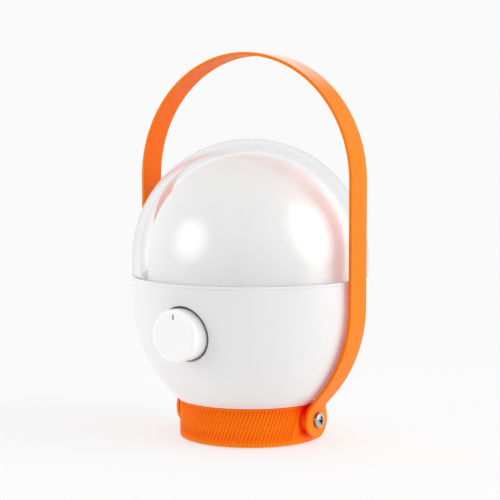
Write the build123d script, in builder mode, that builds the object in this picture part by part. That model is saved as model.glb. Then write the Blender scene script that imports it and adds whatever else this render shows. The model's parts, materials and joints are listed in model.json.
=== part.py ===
from build123d import *
from math import asin, cos, degrees, radians, sin, tan
import os

# Portable dome lantern with a swinging strap handle and a rotary dimmer. All sizes are in mm.
# Z = 0 is the table, the lantern's axis is Z, the knob faces -Y and the handle pivots lie on X.

# Outer shape
body_radius = 48.0  # widest radius, shared by the bowl and the clear dome
seam_z = 65.2  # rim of the bowl, where the clear dome begins
dome_centre_z = 73.5  # centre of the dome's hemisphere
bowl_arc_radius = 55.5  # the bowl's flank is one arc, upright at its top
bowl_arc_z = 57.4  # centre height of that arc
foot_proud = 0.5  # how far the rubber foot stands below the collar
collar_radius = 28.85
collar_height = 15.6
collar_top = foot_proud + collar_height

# Walls and gaps
shell_wall = 2.5
dome_wall = 3.0
collar_wall = 2.6
seam_gap = 0.3  # filled by the dome's seal
seam_round = 0.25  # soft outer corner of the bowl's rim
slip = 0.05  # radial play of parts that turn or drop in, and of screws in their threads
clearance = 0.2  # radial room for screws that pass through
press_fit = 0.02  # radial gap of parts pressed together

# Handle
pivot_z = 9.6
strap_radius = 50.9  # outer radius of the arch
strap_arch_z = 105.2  # centre height of the arch
strap_thickness = 1.3
strap_width = 11.8
strap_bend_radius = 55.0  # outer radius of the lower curve that follows the bowl
strap_bend_z = 56.5  # height where the straight leg turns into that curve
strap_bend_angle = 41.0  # turn of the curve, before the straight run down to the lug
neck_width = 10.0  # narrowest, just above the lug, so the corners clear the bowl as it swings
neck_z = 15.0
full_width_z = 19.5
lug_radius = 7.3
lug_outer_x = 32.3
lug_inner_x = lug_outer_x - strap_thickness
pad_x = 30.35  # flat pivot pad on the collar
sleeve_radius = 2.3  # bush sleeve that the strap turns on
screw_head_x = lug_outer_x + slip

# Knob and dimmer, along -Y
knob_z = 47.0
knob_radius = 10.3
knob_face_y = -53.2
knob_back_y = -42.2
pocket_radius = 10.9
pocket_floor_y = -41.5
pocket_floor_thickness = 1.6
pocket_wall = 1.5
shaft_radius = 3.0
thread_radius = 3.45  # dimmer bushing
dimmer_radius = 8.0

# Deck, light and diffuser
deck_z = 61.2
deck_thickness = 2.0
deck_top = deck_z + deck_thickness
diffuser_radius = 41.6
diffuser_wall = 1.6
light_board_radius = 24.0
light_board_top = deck_top + 1.6

# Power
cell_radius = 9.2
cell_length = 65.0
cell_gap = 0.4
cell_z = 38.0
tray_z = 27.0
tray_floor = 1.6
cover_bottom = 0.9
cover_top = 3.4
foot_top = 1.6
board_z = 5.2
board_top = board_z + 1.6
port_y = 27.9  # mouth of the charging socket
port_width = 8.94
port_height = 3.2
port_z = board_top + port_height / 2

# Fastener circles
collar_screw_circle = 23.5
collar_screw_angles = (-30, 90, 210)
base_screw_circle = 21.0
base_screw_angles = (-90, 30, 150)
board_screw_circle = 13.5
board_screw_angles = (30, 150, 270)
deck_screw_circle = 36.5
deck_screw_angles = (90, 210, 330)
light_screw_circle = 21.0
light_screw_angles = (30, 150, 270)
tray_screw_x = 14.0
tray_screw_y = 22.5

# Pan-head screws
pivot_screw = dict(head_radius=3.0, head_height=1.9, shank_radius=1.48, shank_length=8.0)
deck_screw = dict(head_radius=2.5, head_height=1.6, shank_radius=1.2, shank_length=8.0)
light_screw = dict(head_radius=1.9, head_height=1.3, shank_radius=1.0, shank_length=5.5)
tray_screw = dict(head_radius=2.1, head_height=1.4, shank_radius=0.95, shank_length=7.0)
base_screw = dict(head_radius=2.1, head_height=1.15, shank_radius=1.05, shank_length=8.0)
collar_screw = dict(head_radius=2.25, head_height=1.6, shank_radius=1.25, shank_length=9.0)
board_screw = dict(head_radius=1.75, head_height=1.2, shank_radius=0.85, shank_length=4.0)


def on_circle(radius, angles):
    return [(radius * cos(radians(a)), radius * sin(radians(a))) for a in angles]


def facing_front(y):
    """Plane across the knob's axis at depth y: local z points to -Y and local y points up."""
    return Plane(origin=(0, y, knob_z), x_dir=(1, 0, 0), z_dir=(0, -1, 0))


def facing_side(x, side=1):
    """Plane across the pivot axis at distance x, on the +X or -X side, looking outwards."""
    return Plane(origin=(side * x, 0, pivot_z), x_dir=(0, side, 0), z_dir=(side, 0, 0))


def bowl_solid(inset, bottom_z, top_z):
    """Solid of revolution that follows the bowl's flank, set in by the wall thickness."""
    radius = bowl_arc_radius - inset
    sweep_angle = degrees(asin((bowl_arc_z - bottom_z) / radius))
    with BuildPart() as solid:
        with BuildSketch(Plane.XZ):
            with BuildLine():
                centre = (body_radius - bowl_arc_radius, bowl_arc_z)
                flank = CenterArc(centre, radius, -sweep_angle, sweep_angle)
                rim = (body_radius - inset, top_z)
                Polyline(flank @ 1, rim, (0, top_z), (0, bottom_z), flank @ 0)
            make_face()
        revolve(axis=Axis.Z)
    return solid.part


def domed_shell(outer, wall, bottom_z):
    """Hemisphere on a short cylinder, hollow and open at the bottom."""
    with BuildPart() as shell:
        with BuildSketch(Plane.XZ):
            with BuildLine():
                outside = CenterArc((0, dome_centre_z), outer, 0, 90)
                inside = CenterArc((0, dome_centre_z), outer - wall, 0, 90)
                Line(outside @ 1, inside @ 1)
                Polyline(outside @ 0, (outer, bottom_z), (outer - wall, bottom_z), inside @ 0)
            make_face()
        revolve(axis=Axis.Z)
    return shell.part


def pan_screw(head_plane, head_radius, head_height, shank_radius, shank_length):
    """Cross-recessed pan-head screw whose head stands on the plane, shank behind it."""
    slot_length = head_radius * 1.1
    slot_width = head_radius * 0.26
    with BuildPart() as screw:
        with BuildSketch(head_plane):
            Circle(head_radius)
        extrude(amount=head_height)
        crown = screw.faces().sort_by(Axis(head_plane.origin, head_plane.z_dir))[-1]
        fillet(crown.edges(), head_height * 0.45)
        with BuildSketch(head_plane):
            Circle(shank_radius)
        extrude(amount=-shank_length)
        tip = screw.faces().sort_by(Axis(head_plane.origin, head_plane.z_dir))[0]
        chamfer(tip.edges(), shank_radius * 0.3)
        with BuildSketch(head_plane.offset(head_height)):
            Rectangle(slot_length, slot_width)
            Rectangle(slot_width, slot_length)
        extrude(amount=-head_height * 0.6, mode=Mode.SUBTRACT)
    return screw.part


def standing(point, z, up=True):
    """Horizontal plane at a point, facing up or down, for a screw head to stand on."""
    return Plane(origin=(*point, z), x_dir=(1, 0, 0), z_dir=(0, 0, 1 if up else -1))


os.makedirs("parts", exist_ok=True)

# ---------------------------------------------------------------- clear dome, seal, diffuser
spigot_inner = 43.5
spigot_outer = body_radius - shell_wall - clearance
spigot_bottom = deck_top + 0.1
rim_bottom = seam_z + seam_gap
rim_height = 0.6  # the inward step that carries the spigot

with BuildPart() as clear_dome:
    add(domed_shell(body_radius, dome_wall, rim_bottom))
    with BuildSketch(Plane.XY.offset(rim_bottom)):
        Circle(body_radius)
        Circle(spigot_inner, mode=Mode.SUBTRACT)
    extrude(amount=rim_height)
    with BuildSketch(Plane.XY.offset(spigot_bottom)):
        Circle(spigot_outer)
        Circle(spigot_inner, mode=Mode.SUBTRACT)
    extrude(until=Until.NEXT)
clear_dome.part.label = "clear_dome"
export_step(clear_dome.part, "parts/clear_dome.step")

seal_setback = 0.5
with BuildPart() as dome_seal:
    with BuildSketch(Plane.XY.offset(seam_z)):
        Circle(body_radius - seal_setback)
        Circle(body_radius - shell_wall + 0.1, mode=Mode.SUBTRACT)
    extrude(amount=seam_gap)
dome_seal.part.label = "dome_seal"
export_step(dome_seal.part, "parts/dome_seal.step")

flange_outer = spigot_inner - 0.3
flange_inner = 39.3
flange_thickness = 1.5
with BuildPart() as diffuser_dome:
    add(domed_shell(diffuser_radius, diffuser_wall, deck_top))
    with BuildSketch(Plane.XY.offset(deck_top)):
        Circle(flange_outer)
        Circle(flange_inner, mode=Mode.SUBTRACT)
    extrude(amount=flange_thickness)
diffuser_dome.part.label = "diffuser_dome"
export_step(diffuser_dome.part, "parts/diffuser_dome.step")

# ---------------------------------------------------------------- bowl
floor_top = collar_top + shell_wall
can_radius = pocket_radius + pocket_wall
can_back_y = pocket_floor_y + pocket_floor_thickness
ledge_inner = 43.0
ledge_thickness = 2.5
boss_depth = 10.0
boss_radius = 3.0
collar_boss_radius = 3.25
collar_boss_height = 6.0
wire_hole_y = 4.0
wire_hole_radius = 8.5
pocket_round = 0.35  # soft edge round the knob's pocket

with BuildPart() as bowl_cavity:
    add(bowl_solid(shell_wall, floor_top, seam_z + 1))
    # material left standing: knob can, deck ledge, deck bosses, tray posts, collar bosses
    with BuildSketch(facing_front(can_back_y)):
        Circle(can_radius)
    extrude(amount=body_radius, mode=Mode.SUBTRACT)
    with BuildSketch(Plane.XY.offset(deck_z)):
        Circle(body_radius)
        Circle(ledge_inner, mode=Mode.SUBTRACT)
    extrude(amount=-ledge_thickness, mode=Mode.SUBTRACT)
    with BuildSketch(Plane.XY.offset(deck_z)):
        with PolarLocations(deck_screw_circle, 3, start_angle=deck_screw_angles[0]):
            Circle(boss_radius)
            with Locations((5, 0)):
                Rectangle(10, boss_radius)
    extrude(amount=-boss_depth, mode=Mode.SUBTRACT)
    with BuildSketch(Plane.XY.offset(floor_top)):
        with GridLocations(2 * tray_screw_x, 2 * tray_screw_y, 2, 2):
            Circle(boss_radius)
    extrude(amount=tray_z - floor_top, mode=Mode.SUBTRACT)
    with BuildSketch(Plane.XY.offset(floor_top)):
        with Locations(*on_circle(collar_screw_circle, collar_screw_angles)):
            Circle(collar_boss_radius)
    extrude(amount=collar_boss_height, mode=Mode.SUBTRACT)

with BuildPart() as body_shell:
    add(bowl_solid(0, collar_top, seam_z))
    fillet(body_shell.faces().sort_by(Axis.Z)[-1].edges(), seam_round)
    with BuildSketch(facing_front(pocket_floor_y)):
        Circle(pocket_radius)
    extrude(amount=body_radius, mode=Mode.SUBTRACT)
    pocket_side = body_shell.faces().filter_by(GeomType.CYLINDER).sort_by(Axis.Y)[0]
    fillet(pocket_side.edges().sort_by(Axis.Y)[0], pocket_round)
    add(bowl_cavity.part, mode=Mode.SUBTRACT)
    with BuildSketch(facing_front(can_back_y)):
        Circle(thread_radius + 0.15)
    extrude(amount=pocket_floor_thickness, mode=Mode.SUBTRACT)
    with BuildSketch(Plane.XY.offset(collar_top)):
        with Locations((0, wire_hole_y)):
            Circle(wire_hole_radius)
    extrude(amount=shell_wall, mode=Mode.SUBTRACT)
    with BuildSketch(Plane.XY.offset(collar_top)):
        with Locations(*on_circle(collar_screw_circle, collar_screw_angles)):
            Circle(collar_screw["shank_radius"] + slip)
    extrude(amount=7.6, mode=Mode.SUBTRACT)
    with BuildSketch(Plane.XY.offset(tray_z)):
        with GridLocations(2 * tray_screw_x, 2 * tray_screw_y, 2, 2):
            Circle(tray_screw["shank_radius"] + slip)
    extrude(amount=-tray_screw["shank_length"], mode=Mode.SUBTRACT)
    with BuildSketch(Plane.XY.offset(deck_z)):
        with PolarLocations(deck_screw_circle, 3, start_angle=deck_screw_angles[0]):
            Circle(deck_screw["shank_radius"] + slip)
    extrude(amount=-deck_screw["shank_length"], mode=Mode.SUBTRACT)
body_shell.part.label = "body_shell"
export_step(body_shell.part, "parts/body_shell.step")

# ---------------------------------------------------------------- base collar
collar_inner = collar_radius - collar_wall
flange_bottom = 13.9
collar_flange_inner = 20.5
insert_radius = 2.1
insert_length = 5.0
insert_bore = pivot_screw["shank_radius"] + slip
pivot_boss_radius = 4.0
pivot_boss_inner_x = 20.5
pad_radius = 6.2
cover_boss_radius = 3.0
base_thread_length = 9.0
pipe_x = 8.8
pipe_radius = 1.0
port_play = 0.35
rib_pitch = 3.0  # degrees
rib_lean = 19.0  # degrees from vertical
rib_margin = 1.2  # smooth bands above and below the ribs
rib_depth = 0.45
rib_half_width = 0.6
rib_proud = 0.3  # how far the cutter stands out of the collar
rib_bottom = foot_proud + rib_margin
rib_span = collar_height - 2 * rib_margin
rib_turn = degrees(rib_span * tan(radians(rib_lean)) / collar_radius)


def rib_is_clear(angle):
    """Ribs stop short of the two pivot pads and of the smooth panel round the charging port."""
    middle = angle + rib_turn / 2
    half_turn = rib_turn / 2
    for centre, half_width in ((0, 13.5), (180, 13.5), (90, 23)):
        away = abs((middle - centre + 180) % 360 - 180)
        if away < half_width + half_turn:
            return False
    return True


rib_angles = [n * rib_pitch for n in range(int(360 / rib_pitch)) if rib_is_clear(n * rib_pitch)]


def rib_groove(angle):
    """One slanted V groove, cut from its foot at this angle up to its top."""
    low = Vector(collar_radius, 0, rib_bottom).rotate(Axis.Z, angle)
    high = Vector(collar_radius, 0, rib_bottom + rib_span).rotate(Axis.Z, angle + rib_turn)
    outward = Vector(1, 0, 0).rotate(Axis.Z, angle + rib_turn / 2)
    along = high - low
    with BuildPart() as groove:
        with BuildSketch(Plane(origin=low, x_dir=outward, z_dir=along)):
            with BuildLine():
                Polyline(
                    (-rib_depth, 0),
                    (rib_proud, rib_half_width),
                    (rib_proud, -rib_half_width),
                    close=True,
                )
            make_face()
        extrude(amount=along.length)
    return groove.part


with BuildPart() as base_collar:
    with BuildSketch(Plane.XY.offset(foot_proud)):
        Circle(collar_radius)
        Circle(collar_inner, mode=Mode.SUBTRACT)
    extrude(amount=collar_height)
    fillet(base_collar.faces().sort_by(Axis.Z)[0].outer_wire().edges(), 0.9)
    chamfer(base_collar.faces().sort_by(Axis.Z)[-1].outer_wire().edges(), 0.25)
    for groove_angle in rib_angles:
        add(rib_groove(groove_angle), mode=Mode.SUBTRACT)
    with BuildSketch(Plane.XY.offset(flange_bottom)):
        Circle(collar_inner + 0.5)
        Circle(collar_flange_inner, mode=Mode.SUBTRACT)
    extrude(amount=collar_top - flange_bottom)
    with BuildSketch(Plane.XY.offset(cover_top)):
        with Locations(*on_circle(base_screw_circle, base_screw_angles)):
            Circle(cover_boss_radius)
    extrude(amount=flange_bottom - cover_top + 0.5)
    for side in (-1, 1):
        with BuildSketch(facing_side(pivot_boss_inner_x, side)):
            Circle(pivot_boss_radius)
        extrude(amount=collar_inner - pivot_boss_inner_x + 1)
        with BuildSketch(facing_side(collar_inner + 0.5, side)):
            Circle(pad_radius)
        extrude(amount=pad_x - collar_inner - 0.5)
        with BuildSketch(facing_side(pad_x, side)):
            Circle(insert_radius)
        extrude(amount=-insert_length - slip, mode=Mode.SUBTRACT)
        with BuildSketch(facing_side(pad_x, side)):
            Circle(insert_bore + slip)
        extrude(amount=pivot_boss_inner_x - pad_x, mode=Mode.SUBTRACT)
    with BuildSketch(Plane.XY.offset(flange_bottom)):
        with Locations(*on_circle(collar_screw_circle, collar_screw_angles)):
            Circle(collar_screw["shank_radius"] + clearance)
    extrude(amount=collar_top - flange_bottom, mode=Mode.SUBTRACT)
    with BuildSketch(Plane.XY.offset(cover_top)):
        with Locations(*on_circle(base_screw_circle, base_screw_angles)):
            Circle(base_screw["shank_radius"] + slip)
    extrude(amount=base_thread_length, mode=Mode.SUBTRACT)
    with BuildSketch(Plane.XZ.offset(-collar_inner + 4)):
        with Locations((0, port_z)):
            SlotOverall(port_width + 2 * port_play, port_height + 2 * port_play)
        with Locations((-pipe_x, port_z), (pipe_x, port_z)):
            Circle(pipe_radius + slip)
    extrude(amount=-collar_wall - 6, mode=Mode.SUBTRACT)
base_collar.part.label = "base_collar"
export_step(base_collar.part, "parts/base_collar.step")

with BuildPart() as pivot_inserts:
    for side in (-1, 1):
        with BuildSketch(facing_side(pad_x - insert_length, side)):
            Circle(insert_radius - press_fit)
            Circle(insert_bore, mode=Mode.SUBTRACT)
        extrude(amount=insert_length - slip)
pivot_inserts.part.label = "pivot_inserts"
export_step(pivot_inserts.part, "parts/pivot_inserts.step")

# ---------------------------------------------------------------- handle
bush_flange_x = lug_inner_x - slip
bush_flange_radius = 5.5
bush_bore = 1.55
with BuildPart() as pivot_bushes:
    for side in (-1, 1):
        with BuildSketch(facing_side(pad_x, side)):
            Circle(bush_flange_radius)
            Circle(bush_bore, mode=Mode.SUBTRACT)
        extrude(amount=bush_flange_x - pad_x)
        with BuildSketch(facing_side(bush_flange_x, side)):
            Circle(sleeve_radius)
            Circle(bush_bore, mode=Mode.SUBTRACT)
        extrude(amount=screw_head_x - bush_flange_x)
pivot_bushes.part.label = "pivot_bushes"
export_step(pivot_bushes.part, "parts/pivot_bushes.step")

with BuildPart() as pivot_screws:
    for side in (-1, 1):
        add(pan_screw(facing_side(screw_head_x, side), **pivot_screw))
pivot_screws.part.label = "pivot_screws"
export_step(pivot_screws.part, "parts/pivot_screws.step")

bend_centre_x = strap_radius - strap_bend_radius
bend_tan = tan(radians(strap_bend_angle))


def run_down(start, lug_x):
    """Point where the straight run below the curve meets the upright lug face at lug_x."""
    return (lug_x, start.Y - (start.X - lug_x) / bend_tan)


with BuildPart() as carry_strap:
    with BuildSketch(Plane.XZ):
        with BuildLine():
            arch_centre = (0, strap_arch_z)
            bend_centre = (bend_centre_x, strap_bend_z)
            inner_radius = strap_bend_radius - strap_thickness
            outer_arch = CenterArc(arch_centre, strap_radius, 0, 90)
            inner_arch = CenterArc(arch_centre, strap_radius - strap_thickness, 0, 90)
            outer_bend = CenterArc(bend_centre, strap_bend_radius, 0, -strap_bend_angle)
            inner_bend = CenterArc(bend_centre, inner_radius, 0, -strap_bend_angle)
            Line(outer_arch @ 1, inner_arch @ 1)
            Line(outer_arch @ 0, outer_bend @ 0)
            Line(inner_arch @ 0, inner_bend @ 0)
            Polyline(
                outer_bend @ 1,
                run_down(outer_bend @ 1, lug_outer_x),
                (lug_outer_x, pivot_z - lug_radius),
                (lug_inner_x, pivot_z - lug_radius),
                run_down(inner_bend @ 1, lug_inner_x),
                inner_bend @ 1,
            )
        make_face()
        mirror(about=Plane.YZ)
    extrude(amount=lug_radius + 1, both=True)
    # outline seen from the side: strap, neck and round lug, with the hole for the bush
    with BuildSketch(Plane.YZ):
        with BuildLine():
            Polyline(
                (0, strap_arch_z + strap_radius + 1),
                (strap_width / 2, strap_arch_z + strap_radius + 1),
                (strap_width / 2, full_width_z),
                (neck_width / 2, neck_z),
                (neck_width / 2, pivot_z),
                (0, pivot_z),
                close=True,
            )
        make_face()
        mirror(about=Plane.XZ)
        with Locations((0, pivot_z)):
            Circle(lug_radius)
            Circle(sleeve_radius + slip, mode=Mode.SUBTRACT)
    extrude(amount=strap_radius + 1, both=True, mode=Mode.INTERSECT)
carry_strap.part.label = "carry_strap"
export_step(carry_strap.part, "parts/carry_strap.step")

# ---------------------------------------------------------------- knob and its dimmer
knob_depth = knob_back_y - knob_face_y
knob_round = 1.6
knob_hollow = 7.2
marker_depth = 0.35
marker_offset = 7.3
marker_size = (2.2, 0.8)
shaft_tip_y = knob_face_y + 2.2
hub_y = -46.8
flat_offset = 1.5  # the shaft's D flat, from its axis

with BuildPart() as knob:
    with BuildSketch(facing_front(knob_back_y)):
        Circle(knob_radius)
    extrude(amount=knob_depth)
    fillet(knob.faces().sort_by(Axis.Y)[0].edges(), knob_round)
    with BuildSketch(facing_front(knob_back_y)):
        Circle(knob_hollow)
    extrude(amount=knob_back_y - hub_y, mode=Mode.SUBTRACT)
    with BuildSketch(facing_front(hub_y)):
        Circle(shaft_radius + press_fit)
        with Locations((0, -shaft_radius - flat_offset - press_fit)):
            Rectangle(4 * shaft_radius, 2 * shaft_radius, mode=Mode.SUBTRACT)
    extrude(amount=hub_y - shaft_tip_y + 0.1, mode=Mode.SUBTRACT)
    with BuildSketch(facing_front(knob_face_y)):
        with Locations((0, marker_offset)):
            SlotOverall(*marker_size, rotation=90)
    extrude(amount=-marker_depth, mode=Mode.SUBTRACT)
knob.part.label = "knob"
export_step(knob.part, "parts/knob.step")

with BuildPart() as knob_marker:
    with BuildSketch(facing_front(knob_face_y)):
        with Locations((0, marker_offset)):
            SlotOverall(*marker_size, rotation=90)
    extrude(amount=-marker_depth)
knob_marker.part.label = "knob_marker"
export_step(knob_marker.part, "parts/knob_marker.step")

plate_back_y = can_back_y + 2.0
can_end_y = plate_back_y + 6.4
can_wall = 0.6
plate_tab = (10, 6)  # foot of the dimmer's plate, under its terminals
rotor_y = plate_back_y + 0.5
rotor_radius = 6.4
rotor_thickness = 1.0
bushing_tip_y = -45.5

with BuildPart() as dimmer_housing:
    with BuildSketch(facing_front(plate_back_y)):
        Circle(dimmer_radius + 0.5)
        with Locations((0, -dimmer_radius)):
            Rectangle(*plate_tab)
        Circle(shaft_radius + slip, mode=Mode.SUBTRACT)
    extrude(amount=plate_back_y - can_back_y)
    with BuildSketch(facing_front(can_back_y)):
        Circle(thread_radius)
        Circle(shaft_radius + slip, mode=Mode.SUBTRACT)
    extrude(amount=can_back_y - bushing_tip_y)
dimmer_housing.part.label = "dimmer_housing"
export_step(dimmer_housing.part, "parts/dimmer_housing.step")

with BuildPart() as dimmer_can:
    with BuildSketch(facing_front(can_end_y)):
        Circle(dimmer_radius)
    extrude(amount=can_end_y - plate_back_y)
    with BuildSketch(facing_front(can_end_y - can_wall)):
        Circle(dimmer_radius - can_wall)
    extrude(amount=can_end_y - can_wall - plate_back_y, mode=Mode.SUBTRACT)
dimmer_can.part.label = "dimmer_can"
export_step(dimmer_can.part, "parts/dimmer_can.step")

with BuildPart() as dimmer_shaft:
    with BuildSketch(facing_front(rotor_y + rotor_thickness)):
        Circle(rotor_radius)
    extrude(amount=rotor_thickness)
    with BuildSketch(facing_front(rotor_y)):
        Circle(shaft_radius)
    extrude(amount=rotor_y - shaft_tip_y)
    with BuildSketch(facing_front(hub_y)):
        with Locations((0, -shaft_radius - flat_offset)):
            Rectangle(4 * shaft_radius, 2 * shaft_radius)
    extrude(amount=hub_y - shaft_tip_y, mode=Mode.SUBTRACT)
dimmer_shaft.part.label = "dimmer_shaft"
export_step(dimmer_shaft.part, "parts/dimmer_shaft.step")

washer_front_y = pocket_floor_y - 0.5
washer_radius = 5.3
nut_half_width = 5.0
nut_height = 2.0
with BuildPart() as dimmer_washer:
    with BuildSketch(facing_front(pocket_floor_y)):
        Circle(washer_radius)
        Circle(thread_radius + 0.1, mode=Mode.SUBTRACT)
    extrude(amount=pocket_floor_y - washer_front_y)
dimmer_washer.part.label = "dimmer_washer"
export_step(dimmer_washer.part, "parts/dimmer_washer.step")

with BuildPart() as dimmer_nut:
    with BuildSketch(facing_front(washer_front_y)):
        RegularPolygon(nut_half_width, 6, major_radius=False)
        Circle(thread_radius + press_fit, mode=Mode.SUBTRACT)
    extrude(amount=nut_height)
dimmer_nut.part.label = "dimmer_nut"
export_step(dimmer_nut.part, "parts/dimmer_nut.step")

terminal_spacing = 2.5
terminal_drop = 9.8
terminal_size = (1.2, 0.6)
terminal_length = 3.0
with BuildPart() as dimmer_terminals:
    with BuildSketch(facing_front(plate_back_y)):
        with Locations((0, -terminal_drop)):
            with GridLocations(terminal_spacing, 1, 3, 1):
                Rectangle(*terminal_size)
    extrude(amount=-terminal_length)
dimmer_terminals.part.label = "dimmer_terminals"
export_step(dimmer_terminals.part, "parts/dimmer_terminals.step")

# ---------------------------------------------------------------- deck and light board
lead_hole = on_circle(28.0, [75])[0]
lead_hole_radius = 2.5
deck_boss_radius = 2.5
deck_boss_height = 3.0
with BuildPart() as deck_plate:
    with BuildSketch(Plane.XY.offset(deck_z)):
        Circle(body_radius - shell_wall - 0.3)
    extrude(amount=deck_thickness)
    with BuildSketch(Plane.XY.offset(deck_z)):
        with Locations(*on_circle(light_screw_circle, light_screw_angles)):
            Circle(deck_boss_radius)
    extrude(amount=-deck_boss_height)
    with BuildSketch(Plane.XY.offset(deck_z - deck_boss_height)):
        with Locations(*on_circle(light_screw_circle, light_screw_angles)):
            Circle(light_screw["shank_radius"] + slip)
    extrude(amount=deck_boss_height + deck_thickness, mode=Mode.SUBTRACT)
    with BuildSketch(Plane.XY.offset(deck_z)):
        with Locations(*on_circle(deck_screw_circle, deck_screw_angles)):
            Circle(deck_screw["shank_radius"] + clearance)
        with Locations(lead_hole):
            Circle(lead_hole_radius)
    extrude(amount=deck_thickness, mode=Mode.SUBTRACT)
deck_plate.part.label = "deck_plate"
export_step(deck_plate.part, "parts/deck_plate.step")

with BuildPart() as deck_screws:
    for spot in on_circle(deck_screw_circle, deck_screw_angles):
        add(pan_screw(standing(spot, deck_top), **deck_screw))
deck_screws.part.label = "deck_screws"
export_step(deck_screws.part, "parts/deck_screws.step")

with BuildPart() as light_board:
    with BuildSketch(Plane.XY.offset(deck_top)):
        Circle(light_board_radius)
        with Locations(*on_circle(light_screw_circle, light_screw_angles)):
            Circle(light_screw["shank_radius"] + clearance, mode=Mode.SUBTRACT)
    extrude(amount=light_board_top - deck_top)
light_board.part.label = "light_board"
export_step(light_board.part, "parts/light_board.step")

with BuildPart() as light_board_screws:
    for spot in on_circle(light_screw_circle, light_screw_angles):
        add(pan_screw(standing(spot, light_board_top), **light_screw))
light_board_screws.part.label = "light_board_screws"
export_step(light_board_screws.part, "parts/light_board_screws.step")

diode_size = (2.8, 3.5)
diode_height = 0.8
with BuildPart() as light_diodes:
    with BuildSketch(Plane.XY.offset(light_board_top)):
        with PolarLocations(15.0, 12):
            Rectangle(*diode_size)
        with PolarLocations(6.5, 4):
            Rectangle(*diode_size)
    extrude(amount=diode_height)
light_diodes.part.label = "light_diodes"
export_step(light_diodes.part, "parts/light_diodes.step")

# ---------------------------------------------------------------- battery
cell_y = cell_radius + cell_gap / 2
tray_inner_y = cell_y + cell_radius + 0.2
tray_inner_x = cell_length / 2 + 0.9
tray_wall = 1.4
tray_foot_radius = 2.8

with BuildPart() as battery_tray:
    with BuildSketch(Plane.XY.offset(tray_z)):
        Rectangle(2 * (tray_inner_x + tray_wall), 2 * (tray_inner_y + tray_wall))
    extrude(amount=cell_z - tray_z)
    with BuildSketch(Plane.XY.offset(tray_z + tray_floor)):
        Rectangle(2 * tray_inner_x, 2 * tray_inner_y)
    extrude(amount=cell_z - tray_z, mode=Mode.SUBTRACT)
    with BuildSketch(Plane.XY.offset(tray_z)):
        with GridLocations(2 * tray_screw_x, 2 * tray_screw_y, 2, 2):
            Circle(tray_foot_radius)
    extrude(amount=tray_floor)
    with BuildSketch(Plane.XY.offset(tray_z)):
        with GridLocations(2 * tray_screw_x, 2 * tray_screw_y, 2, 2):
            Circle(tray_screw["shank_radius"] + clearance)
    extrude(amount=tray_floor, mode=Mode.SUBTRACT)
    # the tray's corners are rounded to sit inside the bowl
    add(bowl_solid(shell_wall + 0.8, tray_z - 1, seam_z), mode=Mode.INTERSECT)
battery_tray.part.label = "battery_tray"
export_step(battery_tray.part, "parts/battery_tray.step")

with BuildPart() as tray_screws:
    for x in (-tray_screw_x, tray_screw_x):
        for y in (-tray_screw_y, tray_screw_y):
            add(pan_screw(standing((x, y), tray_z + tray_floor), **tray_screw))
tray_screws.part.label = "tray_screws"
export_step(tray_screws.part, "parts/tray_screws.step")

cell_round = 0.8
with BuildPart() as battery_cells:
    for cell_offset in (-cell_y, cell_y):
        with BuildSketch(Plane.YZ.offset(-cell_length / 2)):
            with Locations((cell_offset, cell_z)):
                Circle(cell_radius)
        extrude(amount=cell_length)
    fillet(battery_cells.edges().filter_by(GeomType.CIRCLE), cell_round)
battery_cells.part.label = "battery_cells"
export_step(battery_cells.part, "parts/battery_cells.step")

# nickel strips bridge the two cells at each end, between the cells and the tray's end walls
contact_width = 8.0
contact_thickness = 0.3
with BuildPart() as battery_contacts:
    for side in (-1, 1):
        with BuildSketch(Plane.YZ.offset(side * cell_length / 2)):
            with Locations((0, cell_z)):
                SlotOverall(2 * cell_y + contact_width, contact_width)
        extrude(amount=side * contact_thickness)
battery_contacts.part.label = "battery_contacts"
export_step(battery_contacts.part, "parts/battery_contacts.step")

# ---------------------------------------------------------------- base cover, foot, fasteners
foot_radius = 23.6
foot_grooves = (14.0, 17.5, 21.0)
groove_depth = 0.4
groove_half_width = 0.5
board_boss_radius = 2.2
board_thread_length = 2.9
screw_sink = 1.2  # how deep the cover's screws are sunk above the foot
with BuildPart() as base_cover:
    with BuildSketch(Plane.XY.offset(cover_bottom)):
        Circle(collar_inner - 0.15)
    extrude(amount=cover_top - cover_bottom)
    with BuildSketch(Plane.XY.offset(cover_bottom)):
        Circle(foot_radius + clearance)
    extrude(amount=foot_top - cover_bottom, mode=Mode.SUBTRACT)
    with BuildSketch(Plane.XY.offset(cover_top)):
        with Locations(*on_circle(board_screw_circle, board_screw_angles)):
            Circle(board_boss_radius)
    extrude(amount=board_z - cover_top)
    with BuildSketch(Plane.XY.offset(board_z)):
        with Locations(*on_circle(board_screw_circle, board_screw_angles)):
            Circle(board_screw["shank_radius"] + slip)
    extrude(amount=-board_thread_length, mode=Mode.SUBTRACT)
    with BuildSketch(Plane.XY.offset(foot_top)):
        with Locations(*on_circle(base_screw_circle, base_screw_angles)):
            Circle(base_screw["head_radius"] + clearance)
    extrude(amount=screw_sink, mode=Mode.SUBTRACT)
    with BuildSketch(Plane.XY.offset(foot_top)):
        with Locations(*on_circle(base_screw_circle, base_screw_angles)):
            Circle(base_screw["shank_radius"] + clearance)
    extrude(amount=cover_top - foot_top, mode=Mode.SUBTRACT)
base_cover.part.label = "base_cover"
export_step(base_cover.part, "parts/base_cover.step")

with BuildPart() as foot_pad:
    with BuildSketch(Plane.XY):
        Circle(foot_radius)
    extrude(amount=foot_top)
    for groove_radius in foot_grooves:
        with BuildSketch(Plane.XY):
            Circle(groove_radius + groove_half_width)
            Circle(groove_radius - groove_half_width, mode=Mode.SUBTRACT)
        extrude(amount=groove_depth, mode=Mode.SUBTRACT)
foot_pad.part.label = "foot_pad"
export_step(foot_pad.part, "parts/foot_pad.step")

with BuildPart() as base_screws:
    for spot in on_circle(base_screw_circle, base_screw_angles):
        add(pan_screw(standing(spot, foot_top + screw_sink, up=False), **base_screw))
base_screws.part.label = "base_screws"
export_step(base_screws.part, "parts/base_screws.step")

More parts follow.
